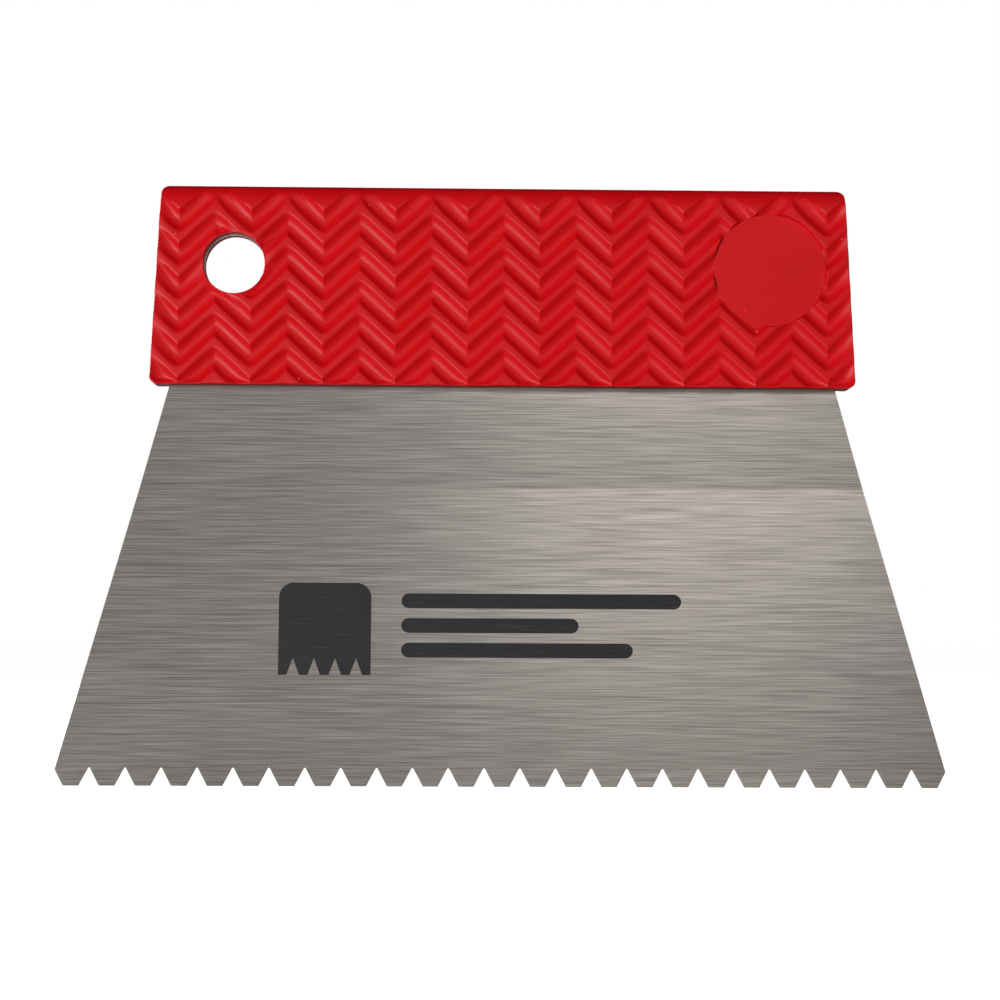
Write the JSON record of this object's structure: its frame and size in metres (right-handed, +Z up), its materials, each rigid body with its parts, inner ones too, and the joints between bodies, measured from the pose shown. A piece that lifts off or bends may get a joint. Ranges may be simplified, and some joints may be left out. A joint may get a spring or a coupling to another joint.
{
  "type": "notched trowel",
  "caption": "Hand trowel with a tapered, creased steel blade, a V-notched edge and a flat chevron-embossed grip with a hanging hole.",
  "frame": {"origin": "middle of the centre tooth's land, half way through the sheet", "axes": "+X along the tooth row to the label recess's side, +Z up through the grip, -Y to the front, which carries the label recess"},
  "size_m": [0.1792, 0.0078, 0.1225],
  "materials": {
    "blade_steel": "fine horizontal brush lines along the tooth row, bare spring steel",
    "grip_pvc": "soft red PVC, satin, embossed with a chevron pattern",
    "core_plastic": "hard red PVC sheet, sawn edges",
    "adhesive_film": "cured red-tinted contact adhesive"
  },
  "bodies": {
    "root": {"blade": "blade_steel", "grip_cover": "grip_pvc", "core_front": "core_plastic", "core_rear": "core_plastic", "tang_film_front": "adhesive_film", "tang_film_rear": "adhesive_film", "cover_film_front": "adhesive_film", "cover_film_rear": "adhesive_film"}
  },
  "joints": []
}
